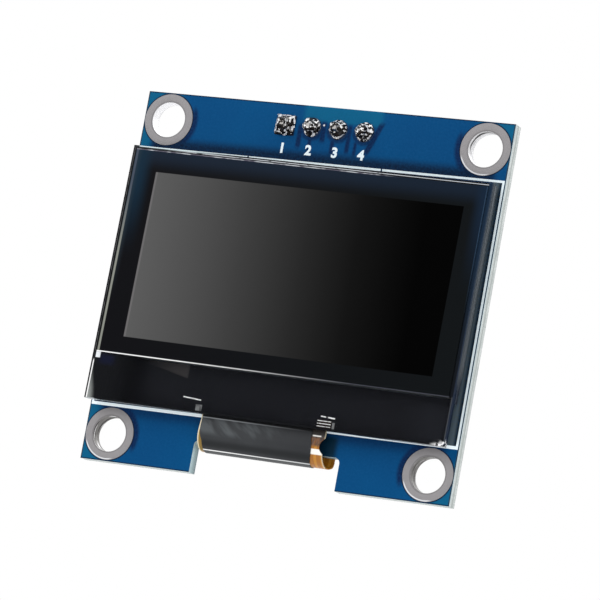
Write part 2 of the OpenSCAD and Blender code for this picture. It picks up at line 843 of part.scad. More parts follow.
module lead_section() {
    a = reg_w / 2;
    polygon([[a, reg_mid + lead_t / 2], [a + knee + lead_t, reg_mid + lead_t / 2],
             [a + knee + knee_slope + lead_t, lead_t], [lead_foot, lead_t], [lead_foot, 0],
             [a + knee + knee_slope, 0], [a + knee, reg_mid - lead_t / 2],
             [a, reg_mid - lead_t / 2]]);
}

module lead() {
    translate([-lead_w / 2, 0, 0]) rotate([90, 0, 90]) linear_extrude(lead_w) lead_section();
}

module regulator_leads() {
    color([0.75, 0.75, 0.74]) on_rear(reg_at) {
        lead();
        for (x = [-reg_pitch / 2, reg_pitch / 2]) translate([x, 0, 0]) rotate([0, 0, 180]) lead();
    }
}

// Fillet of solder against a wall that faces local +X
module fillet(x, width, reach, rise) {
    translate([x, width / 2, 0]) rotate([90, 0, 0]) linear_extrude(width) fillet_flat(reach, rise);
}

module part_solder() {
    color([0.8, 0.8, 0.79]) {
        for (at = resistor_at, s = [0, 180]) on_rear(at) rotate([0, 0, s]) {
            fillet(chip_part_l / 2, chip_part_w, land_out, resistor_t - resistor_bare);
        }
        for (at = capacitor_at, s = [0, 180]) on_rear(at) rotate([0, 0, s]) {
            fillet(chip_part_l / 2, chip_part_w, land_out, capacitor_t - capacitor_bare);
        }
        on_rear(reg_at) {
            rotate([0, 0, 90]) fillet(lead_foot, lead_w, lead_land_out, lead_t);
            for (x = [-reg_pitch / 2, reg_pitch / 2]) translate([x, 0, 0]) {
                rotate([0, 0, -90]) fillet(lead_foot, lead_w, lead_land_out, lead_t);
            }
        }
    }
}

circuit_board();
front_mask();
rear_mask();
board_print();
for (i = [1:HOLE_COUNT]) hole_plating(i);
for (i = [1:pin_count]) pin_plating(i);
for (i = [1:pin_count]) solder_joint(i);
for (i = [1:pin_count]) header_pin(i);
header_strip();
mounting_tape();
rear_glass();
desiccant();
seal();
emitter_layers();
front_glass();
polarizer();
light_shield();
glass_marks();
driver_chip();
flex_circuit();
fold_tape();
flex_contacts();
flex_solder();
rear_pads();
regulator_body();
regulator_leads();
for (i = [1:len(resistor_at)]) resistor(i);
for (i = [1:len(capacitor_at)]) capacitor(i);
part_solder();
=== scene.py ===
import math

import bmesh
import bpy
from mathutils import Matrix, Vector, noise


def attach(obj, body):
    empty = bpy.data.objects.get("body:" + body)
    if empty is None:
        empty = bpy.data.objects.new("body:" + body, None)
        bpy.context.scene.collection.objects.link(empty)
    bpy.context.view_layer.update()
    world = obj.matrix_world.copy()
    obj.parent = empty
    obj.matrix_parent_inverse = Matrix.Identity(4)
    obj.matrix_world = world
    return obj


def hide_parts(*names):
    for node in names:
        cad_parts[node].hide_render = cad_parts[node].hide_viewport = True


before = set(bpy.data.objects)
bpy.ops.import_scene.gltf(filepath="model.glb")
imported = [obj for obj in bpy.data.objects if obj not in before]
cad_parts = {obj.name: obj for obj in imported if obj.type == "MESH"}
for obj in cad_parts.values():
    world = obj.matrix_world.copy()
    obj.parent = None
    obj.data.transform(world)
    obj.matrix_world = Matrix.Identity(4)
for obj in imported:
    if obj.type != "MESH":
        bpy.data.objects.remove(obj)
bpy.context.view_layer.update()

MM = 0.001


# ---------------------------------------------------------------------------
# The room: a pale floor well below the module, a white backdrop in the world,
# and three soft lamps. A finish's nodes are written as arithmetic on Wire.
# ---------------------------------------------------------------------------

class Wire:
    """One socket of a finish: arithmetic adds Math nodes, node() adds any other node."""

    def __init__(self, tree, socket=None):
        self.tree = tree
        self.socket = socket

    def node(self, kind, settings, sockets, output=0):
        made = self.tree.nodes.new("ShaderNode" + kind)
        for name, value in settings.items():
            if name == "stops":
                ramp = made.color_ramp.elements
                while len(ramp) < len(value):
                    ramp.new(0.5)
                for element, (position, colour) in zip(ramp, value):
                    element.position = position
                    element.color = colour
            else:
                setattr(made, name, value)
        for name, value in sockets.items():
            if isinstance(value, Wire):
                self.tree.links.new(value.socket, made.inputs[name])
            else:
                made.inputs[name].default_value = value
        return Wire(self.tree, made.outputs[output])

    def maths(self, operation, a, b=0.0):
        return self.node("Math", {"operation": operation}, {0: a, 1: b})

    def __add__(self, other):
        return self.maths("ADD", self, other)

    def __sub__(self, other):
        return self.maths("SUBTRACT", self, other)

    def __rsub__(self, other):
        return self.maths("SUBTRACT", other, self)

    def __mul__(self, other):
        return self.maths("MULTIPLY", self, other)

    def __truediv__(self, other):
        return self.maths("DIVIDE", self, other)

    def __abs__(self):
        return self.maths("ABSOLUTE", self)

    __radd__ = __add__
    __rmul__ = __mul__

    def least(self, other):
        return self.maths("MINIMUM", self, other)

    def most(self, other):
        return self.maths("MAXIMUM", self, other)

    def root(self):
        return self.maths("SQRT", self)

    def fraction(self):
        return self.maths("FRACT", self)

    def step(self, start, end):
        """0 before start and 1 after end, with a soft change between them."""
        return self.node("MapRange", {"interpolation_type": "SMOOTHSTEP"},
                         {"Value": self, "From Min": start, "From Max": end})

    def within(self, low, high, soft):
        """1 between low and high, and 0 beyond them."""
        return self.step(low - soft, low + soft) * (1 - self.step(high - soft, high + soft))

    def shade(self, low, high):
        """The colour low where this is 0, and high where it is 1."""
        return self.node("Mix", {"data_type": "RGBA"}, {0: self, 6: low, 7: high}, 2)

    def spread(self, x, y, z):
        """This place, stretched along each direction."""
        return self.node("VectorMath", {"operation": "MULTIPLY"}, {0: self, 1: (x, y, z)})

    def cloud(self, scale, detail=2.0):
        return self.node("TexNoise", {}, {"Vector": self, "Scale": scale, "Detail": detail})

    def along(self):
        """This place's x, y and z, each on its own."""
        apart = self.node("SeparateXYZ", {}, {0: self})
        return [Wire(self.tree, out) for out in apart.socket.node.outputs]


def paint(red, green, blue):
    """A colour as the eye reads it, from 0 to 255, turned into light."""
    parts = [c / 255 for c in (red, green, blue)]
    return tuple(c / 12.92 if c < 0.04045 else ((c + 0.055) / 1.055) ** 2.4 for c in parts) + (1.0,)


world = bpy.data.worlds.new("room_light")
bpy.context.scene.world = world
world.use_nodes = True
room_tree = world.node_tree
room_tree.nodes.clear()
room = Wire(room_tree)
# the backdrop is white where it is seen or mirrored, and lights the module a little less
seen = (room.node("LightPath", {}, {}, "Is Camera Ray")
        .most(room.node("LightPath", {}, {}, "Is Glossy Ray"))
        .most(room.node("LightPath", {}, {}, "Is Transmission Ray")))
room_shade = room.node("Background", {}, {
    "Color": (1.0, 1.0, 1.0, 1.0), "Strength": seen * 0.28 + 0.72})
room_out = room_tree.nodes.new("ShaderNodeOutputWorld")
room_tree.links.new(room_shade.socket, room_out.inputs[0])

for name, place, size, power in (
    ("lamp_high_left", (-0.45, -0.55, 0.55), 0.5, 2.5),
    ("lamp_low_right", (0.5, -0.7, -0.02), 0.6, 1.1),
    ("lamp_behind", (0.1, 0.8, 0.5), 0.6, 3.0),
):
    lamp_data = bpy.data.lights.new(name, "AREA")
    lamp_data.size = size
    lamp_data.energy = power
    lamp = bpy.data.objects.new(name, lamp_data)
    lamp.location = place
    lamp.rotation_euler = Vector(place).to_track_quat("Z", "Y").to_euler()
    bpy.context.scene.collection.objects.link(lamp)

camera_data = bpy.data.cameras.new("camera")
camera_data.lens = 253.1
camera_data.sensor_width = 36.0
camera_data.clip_start = 0.01
camera = bpy.data.objects.new("camera", camera_data)
bpy.context.scene.collection.objects.link(camera)
# the place it looks at and how far off it stands (mm), and how far it is to the right, below and
# rolled (degrees)
VIEW_AT, VIEW_FAR = (0.56, -1.2, -0.55), 366.83
VIEW_RIGHT, VIEW_BELOW, VIEW_ROLL = 24.953, 8.552, 10.358
camera.matrix_world = (
    Matrix.Translation([offset * MM for offset in VIEW_AT])
    @ Matrix.Rotation(math.radians(VIEW_RIGHT), 4, "Z")
    @ Matrix.Rotation(math.radians(90 + VIEW_BELOW), 4, "X")
    @ Matrix.Rotation(math.radians(VIEW_ROLL), 4, "Z")
    @ Matrix.Translation((0, 0, VIEW_FAR * MM)))
bpy.context.scene.camera = camera
bpy.context.scene.view_settings.view_transform = "Standard"


def finish(name, **constants):
    """A new finish: its material, its shader and the place on the module, in millimetres."""
    material = bpy.data.materials.new(name)
    material.use_nodes = True
    tree = material.node_tree
    shader = tree.nodes["Principled BSDF"]
    for socket, value in constants.items():
        shader.inputs[socket.replace("_", " ")].default_value = value
    start = Wire(tree)
    place = start.node("VectorMath", {"operation": "SCALE"}, {
        0: start.node("TexCoord", {}, {}, "Object"), "Scale": 1 / MM})
    return material, shader, place


def feed(shader, **wires):
    """Links wires to the shader's sockets of the same names."""
    for socket, wire in wires.items():
        wire.tree.links.new(wire.socket, shader.inputs[socket.replace("_", " ")])


def relief(height, depth):
    """A fine surface relief, depth in millimetres."""
    return height.node("Bump", {}, {"Height": height, "Distance": depth * MM, "Strength": 1.0})


FLOOR_X, FLOOR_Z = 3.0, -0.12

floor_data = bpy.data.meshes.new("floor")
floor_data.from_pydata([(x * FLOOR_X, y * FLOOR_X, FLOOR_Z) for x, y in ((-1, -1), (1, -1), (1, 1), (-1, 1))],
                       [], [(0, 1, 2, 3)])
floor = bpy.data.objects.new("floor", floor_data)
bpy.context.scene.collection.objects.link(floor)
floor_finish, floor_shader, place = finish("pale_floor", Roughness=0.8, Specular_IOR_Level=0.2)
feed(floor_shader, Base_Color=place.cloud(0.02).shade(paint(246, 246, 246), paint(250, 250, 250)))
floor_data.materials.append(floor_finish)


# ---------------------------------------------------------------------------
# Board: woven glass and resin, 1.2 mm thick over its solder mask, cut by a
# router all round. Its cut edge is pale, with the weave's layers in it.
# ---------------------------------------------------------------------------

BOARD_X, BOARD_Z, BOARD_T = 17.7, 16.75, 1.2
NOTCH_X = 7.0


def dress(material, *nodes):
    """Gives carried-over CAD nodes their finish."""
    for node in nodes:
        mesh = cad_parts[node].data
        mesh.materials.clear()
        mesh.materials.append(material)


laminate, laminate_shader, place = finish("laminate", Roughness=0.5, Specular_IOR_Level=0.3)
x, y, z = place.along()
depth = -1 * y
weave = place.spread(0.5, 7.0, 0.5).cloud(1.0, 3.0)
strands = place.spread(6.0, 1.0, 6.0).cloud(1.0, 3.0)
layer = (weave * 0.7 + strands * 0.3).step(0.38, 0.62)
edge_tone = layer.shade(paint(186, 194, 192), paint(222, 228, 226))
edge_tone = depth.within(0.45, 0.7, 0.08).shade(edge_tone, paint(172, 180, 178))
edge_tone = depth.step(0.98, 1.08).shade(edge_tone, paint(196, 216, 222))
# the notch's walls are greener, with painted shade making them darker towards the back
wall = (NOTCH_X + 0.1 - abs(x)).step(-0.05, 0.05) * z.step(-12.5, -13.0)
edge_tone = (wall * 0.8).shade(edge_tone, depth.shade(paint(58, 92, 100), paint(176, 206, 212)))
feed(laminate_shader, Base_Color=edge_tone, Normal=relief(weave + strands, 0.02))
dress(laminate, "circuit_board")


# ---------------------------------------------------------------------------
# Solder mask: a thin glossy blue coat on both faces. It is deeper blue over the
# copper plane, greener over bare laminate, and navy where the copper ends.
# ---------------------------------------------------------------------------

HOLE_X, HOLE_Z, RING_R = 15.3, 14.3, 2.33
PIN_PITCH, PIN_Z = 2.54, 14.8
PIN_X = [PIN_PITCH * pitches for pitches in (-1.5, -0.5, 0.5, 1.5)]
CONTACTS, CONTACT_PITCH = 30, 0.7
MASK_T = 0.02
BLUE, NAVY, TEAL = paint(2, 68, 118), paint(8, 34, 74), paint(10, 92, 130)


def distance(across, up):
    """How far a place is from a point, from its distances across and up."""
    return (across * across + up * up).root()


def mask_finish(name):
    """A mask's finish up to its copper gaps: the same on both faces."""
    material, shader, place = finish(name, Roughness=0.36, Specular_IOR_Level=0.045)
    x, y, z = place.along()
    across, up = abs(x) - HOLE_X, abs(z) - HOLE_Z
    from_hole = distance(across, up)
    patches = place.spread(1, 0, 1).cloud(0.11, 3.0).step(0.3, 0.75)
    tone = patches.shade(BLUE, paint(2, 74, 124))
    inward = (across + up).step(-0.6, -1.8)
    gap = (RING_R + 0.52 - from_hole).step(-0.2, 0.2) * inward
    corner = (across + up * 0.9).step(0.6, 1.6).most(x.step(-16.3, -17.1)) * from_hole.step(2.3, 2.5)
    tone = gap.shade(tone, NAVY)
    tone = corner.shade(tone, TEAL)
    tone = from_hole.within(RING_R - 0.1, RING_R + 0.1, 0.05).shade(tone, paint(10, 24, 48))
    rim = (abs(z) - BOARD_Z).step(-0.16, -0.04).shade(tone, paint(8, 32, 58))
    tone = (abs(x) - BOARD_X).step(-0.16, -0.04).shade(rim, paint(44, 56, 66))
    return material, shader, place, tone


front_mask, mask_shader, place, tone = mask_finish("front_solder_mask")
x, y, z = place.along()
# bare laminate above the last three pins, and the gaps beside their traces
band = x.within(-2.2, 5.3, 0.35) * z.step(15.15, 15.55)
tone = band.shade(tone, TEAL)
gaps = x.within(-2.6, -2.15, 0.12) * z.within(12.9, 15.0, 0.3)
for middle, width, low, high in ((-0.15, 0.5, 13.6, 15.4), (2.35, 0.4, 12.8, 15.3), (3.1, 0.3, 12.6, 13.9),
                                 (-1.3, 0.35, 12.6, 13.9), (0.9, 0.4, 12.6, 13.9)):
    gaps = gaps.most(x.within(middle - width / 2, middle + width / 2, 0.12) * z.within(low, high, 0.25))
slant = x - 5.1 - (z - 15.2) * 0.4
gaps = gaps.most(slant.within(-0.25, 0.3, 0.12) * z.within(12.8, 15.7, 0.3))
for pin in PIN_X[1:]:
    ring = (1.2 - distance(x - pin, z - PIN_Z)).step(-0.15, 0.15)
    gaps = gaps.most(ring * (z - PIN_Z).step(1.0, -0.4) * 0.8)
tone = gaps.shade(tone, NAVY)
# painted shade darkens the mask beside the panel and inside the print frame, and a painted reflection makes
# it greyer where the panel's right wall is mirrored in the gloss
near = (12.75 - abs(z)).step(-0.25, 0.75) * (16.4 - abs(x)).step(-0.6, 0.6)
upper = z.step(-1.0, 1.0)
tone = (near * (upper * 0.4 + 0.55)).shade(tone, upper.shade(paint(10, 40, 84), paint(8, 26, 50)))
inside = (11.72 - abs(z + 0.07)).step(-0.05, 0.05) * (17.45 - abs(x)).step(-0.05, 0.05)
beside = x.step(16.98, 17.32).shade(paint(80, 92, 98), paint(14, 26, 36))
tone = inside.shade(tone, x.step(16.5, 16.6).shade(paint(8, 34, 66), beside))
speckle = place.cloud(5.0, 4.0).step(0.35, 0.7)
tone = (speckle * 0.14).shade(tone, paint(30, 96, 150))
shadow = x.within(4.0, 6.5, 0.35) * z.within(-14.0, -12.1, 0.3)
tone = (shadow * 0.9).shade(tone, paint(6, 34, 46))
via = (0.09 - distance(x + 0.18, z - 15.1)).step(-0.03, 0.03)
tone = via.shade(tone, paint(214, 216, 220))
waves = place.cloud(1.6, 2.0) * 0.7 + place.cloud(14.0, 3.0) * 0.3
feed(mask_shader, Base_Color=tone, Normal=relief(waves, 0.006))
dress(front_mask, "front_mask")

rear_mask, rear_shader, place, tone = mask_finish("rear_solder_mask")
x, y, z = place.along()
# traces from the tail's thirty joints up to the parts, and one wide bar to each pin
columns = abs((x / CONTACT_PITCH + 0.5).fraction() - 0.5)
traces = columns.step(0.28, 0.2) * z.within(-3.9, -2.7, 0.1) * (10.3 - abs(x)).step(0, 0.05)
for pin in PIN_X:
    traces = traces.most(x.within(pin - 0.3, pin + 0.3, 0.05) * z.within(10.2, 14.6, 0.1))
traces = traces.most(z.within(9.95, 10.25, 0.05) * x.within(-12.0, 12.4, 0.1))
tone = (traces * 0.6).shade(tone, paint(24, 104, 164))
feed(rear_shader, Base_Color=tone, Normal=relief(traces + place.cloud(14.0, 3.0) * 0.2, 0.02))
dress(rear_mask, "rear_mask")


# ---------------------------------------------------------------------------
# White print: a screen-printed frame round the display, and the pins' plain
# numbers. The ink is thin and a little uneven.
# ---------------------------------------------------------------------------

def new_piece(name, mesh, nodes=(), smooth=35):
    """A finished mesh that rides on the module and stands for its CAD nodes."""
    if smooth:
        mesh.shade_smooth()
        mesh.set_sharp_from_angle(angle=math.radians(smooth))
    piece = bpy.data.objects.new(name, mesh)
    bpy.context.scene.collection.objects.link(piece)
    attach(piece, "root")
    if nodes:
        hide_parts(*nodes)
    return piece


def shape(name, verts, faces, material):
    """A mesh from places in millimetres, with its faces turned outwards."""
    mesh = bpy.data.meshes.new(name)
    mesh.from_pydata([Vector(v) * MM for v in verts], [], faces)
    work = bmesh.new()
    work.from_mesh(mesh)
    bmesh.ops.recalc_face_normals(work, faces=work.faces)
    work.to_mesh(mesh)
    work.free()
    mesh.materials.append(material)
    return mesh


# painted light: the ink glows a little everywhere, and most along the frame's lower line, where the panel
# shades it
white_print, print_shader, place = finish(
    "white_print", Roughness=0.5, Specular_IOR_Level=0.3, Emission_Strength=0.3)
x, y, z = place.along()
feed(print_shader, Base_Color=place.cloud(3.0, 3.0).shade(paint(206, 224, 230), paint(244, 252, 254)),
     Emission_Color=z.step(-11.0, -11.6).shade(paint(140, 150, 160), paint(236, 246, 255)))
dress(white_print, "board_print")

NUMBER_SIZE, NUMBER_BOLD, NUMBER_Z = 1.22, 0.05, 12.33
PRINT_T, PRINT_GAP = 0.013, 0.0007

for number, x in enumerate(PIN_X, 1):
    digit = bpy.data.curves.new(f"pin_number_{number}", "FONT")
    digit.body = str(number)
    digit.size = NUMBER_SIZE * MM
    digit.offset = NUMBER_BOLD * MM
    digit.extrude = PRINT_T / 2 * MM
    digit.align_x = "CENTER"
    digit_object = bpy.data.objects.new(digit.name, digit)
    flat = bpy.data.meshes.new_from_object(digit_object)
    bpy.data.objects.remove(digit_object)
    middle_y = -(BOARD_T + PRINT_GAP + PRINT_T / 2)
    flat.transform(Matrix.Translation((x * MM, middle_y * MM, NUMBER_Z * MM))
                   @ Matrix.Rotation(math.pi / 2, 4, "X"))
    flat.materials.clear()
    flat.materials.append(white_print)
    new_piece(f"pin_number_{number}", flat, smooth=0)


# ---------------------------------------------------------------------------
# Mounting holes: tinned copper rings and barrels, dipped in solder and blown
# level, so each ring is flat and dull; each barrel is streaked with painted reflections and shade.
# ---------------------------------------------------------------------------

def turned(profile, centre, turns, rough, seed, fine=1.4, squared=0.0):
    """A closed profile of (radius, y), spun round an upright hole or pin, with a little unevenness."""
    verts, faces = [], []
    count = len(profile)
    for t in range(turns):
        angle = 2 * math.pi * t / turns
        corner = 1 / max(abs(math.cos(angle)), abs(math.sin(angle)))
        for r, y in profile:
            r *= 1 + (corner - 1) * squared
            here = Vector((r * math.cos(angle), y, r * math.sin(angle)))
            lump = noise.noise(here * fine + Vector((seed, 0, 0))) * rough
            verts.append((centre[0] + here.x, y + lump, centre[1] + here.z))
    for t in range(turns):
        for p in range(count):
            a, b = t * count, ((t + 1) % turns) * count
            q = (p + 1) % count
            faces.append((a + p, a + q, b + q, b + p))
    return verts, faces


HOLE_R, RISE, CROWN = 1.6, 0.02, 0.028

tin, tin_shader, place = finish("tinned_copper")
x, y, z = place.along()
from_hole = distance(abs(x) - HOLE_X, abs(z) - HOLE_Z)
dull = place.cloud(2.2, 3.0)
grey = dull.shade(paint(136, 134, 136), paint(152, 149, 151))
inner = from_hole.within(HOLE_R, HOLE_R + 0.12, 0.03) * abs(y + BOARD_T).step(0.3, 0.1)
grey = (inner * 0.3).shade(grey, paint(52, 50, 50))
# inside a hole the tin is streaked with painted reflections and shade: painted light makes the barrels bright
# in the upper holes and white in the upper left one, and painted shade makes them darker below
barrel = (HOLE_R + 0.03 - from_hole).step(-0.02, 0.01) * abs(y + BOARD_T / 2).step(0.62, 0.56)
streak = place.spread(0.35, 3.4, 0.35).cloud(1.0, 2.0)
barrel_light = z.step(-2.0, 2.0).shade(paint(128, 126, 124), paint(226, 226, 228))
barrel_reflections = streak.step(0.36, 0.48).shade(paint(36, 34, 34), barrel_light)
barrel_reflections = streak.step(0.6, 0.66).shade(barrel_reflections, paint(252, 252, 254))
barrel_reflections = (z.step(8.0, 9.0) * x.step(-8.0, -9.0)).shade(barrel_reflections, paint(250, 250, 252))
grey = barrel.shade(grey, barrel_reflections)
# the rings' lower left rims catch the light, and the pads under the pins' joints are dark
right, above = x - HOLE_X * x.maths("SIGN", x), z - HOLE_Z * z.maths("SIGN", z)
low_side = (right * 0.5 + above).step(-1.7, -2.1) * x.most(z * -1).step(0, 1)
crescent = from_hole.within(RING_R - 0.13, RING_R - 0.03, 0.03) * low_side
grey = (crescent * 0.8).shade(grey, paint(236, 238, 242))
pad = (6.0 - abs(x)).step(0.0, 0.1) * z.step(12.0, 12.1) * (y + 1.1).step(0.0, -0.1)
grey = pad.shade(grey, paint(6, 40, 76))
feed(tin_shader, Base_Color=grey, Roughness=dull * 0.2 + 0.5, Metallic=0.35 + barrel * 0.2,
     Normal=relief(place.cloud(5.0, 2.0), 0.008))

# the way over a ring, from its rim to its hole, as (radius, height) over the board
over = []
for step in range(9):
    t = step / 8
    over.append((RING_R + (HOLE_R - RING_R) * t, RISE + CROWN * math.sin(math.pi * min(1, 0.12 + t * 0.8))))
ring_profile = ([(RING_R, -BOARD_T + 0.03)] + [(r, -BOARD_T - height) for r, height in over]
                + [(HOLE_R - 0.01, -BOARD_T * part) for part in (0.95, 0.8, 0.6, 0.4, 0.2, 0.05)]
                + over[::-1] + [(RING_R, -0.03)]
                + [(HOLE_R + 0.05, -0.03), (HOLE_R + 0.05, -BOARD_T + 0.03)])
hole_at = [(-HOLE_X, HOLE_Z), (HOLE_X, HOLE_Z), (-HOLE_X, -HOLE_Z), (HOLE_X, -HOLE_Z)]
for number, centre in enumerate(hole_at, 1):
    verts, faces = turned(ring_profile, centre, turns=96, rough=0.012, seed=number * 7.0)
    new_piece(f"tinned_ring_{number}", shape(f"tinned_ring_{number}", verts, faces, tin),
              [f"hole_plating_{number}"])
dress(tin, *[f"pin_plating_{i}" for i in range(1, 5)], "rear_pads")


# ---------------------------------------------------------------------------
# Header: four square pins in a black moulded strip behind the board, soldered
# by hand on the front, with painted dark reflections between painted glints on the lumps of solder.
# ---------------------------------------------------------------------------

joint, joint_shader, place = finish("solder_and_flux", Specular_IOR_Level=0.2)
x, y, z = place.along()
# painted highlights: white glints gather on both shoulders of a joint and along its foot, with painted dark
# reflections in the patches between them
beside, above = abs((x / PIN_PITCH).fraction() - 0.5) * PIN_PITCH, z - PIN_Z
foot = distance(beside, above).within(0.66, 0.84, 0.06) * above.step(-0.3, -0.6)
glint_field = place.spread(1.0, 1.0, 1.25).cloud(3.3, 2.0) + (beside - 0.45) * 0.14 + above * 0.05 + foot * 0.1
dark_reflection = place.cloud(1.9, 4.0).step(0.42, 0.45)
bright = glint_field.step(0.5, 0.53)
lump = bright.shade(paint(46, 44, 46), paint(255, 255, 255))
dark_reflection_tone = place.cloud(3.3, 2.0).step(0.4, 0.6).shade(paint(3, 3, 5), paint(30, 22, 18))
lump = (dark_reflection * (1 - glint_field.step(0.56, 0.58))).shade(lump, dark_reflection_tone)
feed(joint_shader, Base_Color=lump, Metallic=bright * 0.3, Roughness=dark_reflection * 0.15 + 0.25,
     Normal=relief(place.cloud(4.2, 3.0), 0.08))

# each joint's size and how square its pad is; the cone's outline is (radius, height)
JOINTS = [(1.04, 0.8), (0.97, 0.1), (0.97, 0.0), (0.97, 0.15)]
CONE = [(0.05, 1.04), (0.3, 1.0), (0.42, 0.86), (0.5, 0.66), (0.6, 0.5), (0.7, 0.36), (0.8, 0.22),
        (0.9, 0.1), (0.9, 0.02), (0.05, 0.02)]
for number, (x, (size, squared)) in enumerate(zip(PIN_X, JOINTS), 1):
    profile = [(r * size, -BOARD_T - height) for r, height in CONE]
    verts, faces = turned(profile, (x - 0.06, PIN_Z), turns=72, rough=0.3, seed=number * 3.0, fine=2.2,
                          squared=squared)
    # a joint made by hand is wider at the top, where the solder ran on
    sag = 0.0 if number == 1 else 0.42
    verts = [(x + (vx - x) * (1 - sag * max(0.0, PIN_Z - vz)), min(vy, -BOARD_T - 0.01), vz)
             for vx, vy, vz in verts]
    new_piece(f"solder_joint_front_{number}", shape(f"solder_joint_front_{number}", verts, faces, joint),
              [f"solder_joint_{number}"])

gold, gold_shader, place = finish("pin_metal", Metallic=1.0)
x, y, z = place.along()
plated = place.cloud(1.5).shade(paint(214, 190, 120), paint(232, 212, 150))
feed(gold_shader, Base_Color=y.step(-1.3, -1.1).shade(paint(176, 174, 172), plated),
     Roughness=place.cloud(6.0) * 0.15 + 0.2)
dress(gold, *[f"header_pin_{i}" for i in range(1, 5)])

black, black_shader, place = finish("header_plastic", Specular_IOR_Level=0.35)
feed(black_shader, Base_Color=place.cloud(4.0).shade(paint(22, 22, 23), paint(34, 34, 35)),
     Roughness=place.cloud(10.0) * 0.2 + 0.4, Normal=relief(place.cloud(20.0), 0.01))
dress(black, "header_strip", "regulator_body")


# ---------------------------------------------------------------------------
# Display panel: two sheets of glass sealed together and taped to the board, the
# emitting layers between them, and a dark polarizer stuck to the front.
# ---------------------------------------------------------------------------

PANEL_X, PANEL_Z, SKEW = -0.22, -0.24, math.radians(0.6)
PANEL = Matrix.Translation((PANEL_X, 0, PANEL_Z)) @ Matrix.Rotation(SKEW, 4, "Y")
GLASS_X, GLASS_Z, GLASS_LEFT = 17.25, 11.5, -17.35
POLAR_X, POLAR_LOW, POLAR_TOP = 16.93, -7.3, 11.18
POLAR_Y, GLASS_Y, GLASS_BACK_Y = -2.9, -2.7, -2.0
LIT_X, LIT_Z, LIT_ACROSS, LIT_UP = 14.87, 7.5, 0.26, 1.75


def plate(name, corners, low, high, bevel, material, place=PANEL):
    """A flat plate between two heights (y) over an outline of (x, z), with its edges eased."""
    count = len(corners)
    verts = [place @ Vector((x, y, z)) for y in (low, high) for x, z in corners]
    faces = [tuple(range(count)), tuple(range(count, 2 * count))]
    faces += [(k, (k + 1) % count, count + (k + 1) % count, count + k) for k in range(count)]
    mesh = shape(name, verts, faces, material)
    work = bmesh.new()
    work.from_mesh(mesh)
    bmesh.ops.bevel(work, geom=work.edges, offset=bevel * MM, segments=2, profile=0.6, affect="EDGES")
    work.to_mesh(mesh)
    work.free()
    return mesh


def oblong(left, right, low, high):
    return [(left, low), (right, low), (right, high), (left, high)]


def panel_place(place):
    """Distances right of and above the middle of the panel, along its own turned edges."""
    x, y, z = place.along()
    return ((x - PANEL_X) * math.cos(SKEW) - (z - PANEL_Z) * math.sin(SKEW), y,
            (x - PANEL_X) * math.sin(SKEW) + (z - PANEL_Z) * math.cos(SKEW))


glass, glass_shader, place = finish("clear_glass", Roughness=0.2, Specular_IOR_Level=0.04)
across, y, up = panel_place(place)
from_left, from_right, from_low, from_top = across - GLASS_LEFT, GLASS_X - across, up + GLASS_Z, GLASS_Z - up
edge = from_left.least(from_right).least(from_low.least(from_top))
ragged = place.cloud(1.1, 3.0)
# the margin shows the dark seal, with a ground edge round it and a painted highlight line inside that, and
# painted highlights along the top edge, brightest at the upper left
line = ragged.step(0.3, 0.62).shade(paint(32, 34, 38), paint(92, 92, 94))
tone = edge.within(0.14, 0.2, 0.02).shade(paint(12, 13, 14), line)
top_glint = ragged.step(0.3, 0.5).most(across.step(8.0, 11.0)) * (across + GLASS_X).step(2.5, 7.0)
tone = from_top.within(0.13, 0.19, 0.02).shade(tone, top_glint.shade(paint(50, 56, 60), paint(206, 210, 216)))
top_left_glint = from_top.step(0.13, 0.09) * (across + 10.0).step(3.0, -3.0) * (across + 16.9).step(0, 0.2)
tone = top_left_glint.shade(tone, paint(214, 230, 234))
tone = from_right.step(0.34, 0.28).shade(tone, up.step(-6.0, 8.0).shade(paint(20, 24, 30), paint(26, 44, 64)))
# the bare ledge below the polarizer: dark over the light shield, with painted highlights as pale lines and a
# painted reflection as a sheen at its left
ledge = (POLAR_LOW + 0.05 - up).step(-0.03, 0.03)
reach = (-8.4 - up).step(0.0, 3.1)
sheen = ((from_left - 0.27) / (reach * 0.6 + 0.15)).step(1.0, 0.0) * ledge
sheen_tone = reach.shade(paint(40, 42, 44), paint(150, 154, 152))
tone = ledge.shade(tone, sheen.shade(paint(19, 20, 23), sheen_tone))
left_glint = from_left.within(0.17, 0.27, 0.02) * (-7.9 - up).step(0, 0.3)
tone = left_glint.shade(tone, paint(250, 250, 250))
tone = (from_right.step(0.14, 0.08) * ledge).shade(tone, paint(66, 70, 76))
tone = from_left.step(0.15, 0.11).shade(tone, paint(16, 15, 19))
blob = from_left.within(0.34, 0.78, 0.03) * up.within(-7.82, -7.28, 0.03)
tone = blob.shade(tone, paint(236, 240, 244))
blue = from_left.within(0.8, 2.2, 0.4) * up.within(-8.3, -7.5, 0.3)
tone = (blue * 0.4).shade(tone, paint(22, 28, 60))
low_glint = from_low.step(0.08, 0.03) * from_left.within(0.15, 1.0, 0.1)
tone = low_glint.shade(tone, paint(170, 176, 178))
# the walls: dark below, with painted highlights at its far left and, fainter, towards its right, grey on the
# right, and chipped at the lower right corner, where the chips are painted with white and dark glints
low_wall = (y - GLASS_BACK_Y).step(-0.66, -0.6) * from_low.step(0.03, 0.01)
wall_end_glint = (across + 16.6).step(0.8, 0.0).most((across - 10.8).step(0.0, 2.6) * 0.66)
tone = low_wall.shade(tone, wall_end_glint.shade(paint(14, 15, 18), paint(214, 218, 224)))
right_wall = from_right.step(0.03, 0.01)
wall_tone = up.step(-8.0, 7.0).shade(paint(24, 36, 56), paint(34, 52, 72))
wall_tone = ((y - GLASS_Y - 0.15).step(0.0, 0.3) * up.step(-7.0, -5.0)).shade(wall_tone, paint(80, 86, 92))
tone = right_wall.shade(tone, wall_tone)
chips = place.cloud(4.6, 3.0)
chipped = distance(from_right, from_low * 2).step(1.5, 0.5)
tone = (chipped * chips.step(0.5, 0.56)).shade(tone, paint(250, 250, 252))
tone = (chipped * chips.step(0.42, 0.37)).shade(tone, paint(10, 12, 18))
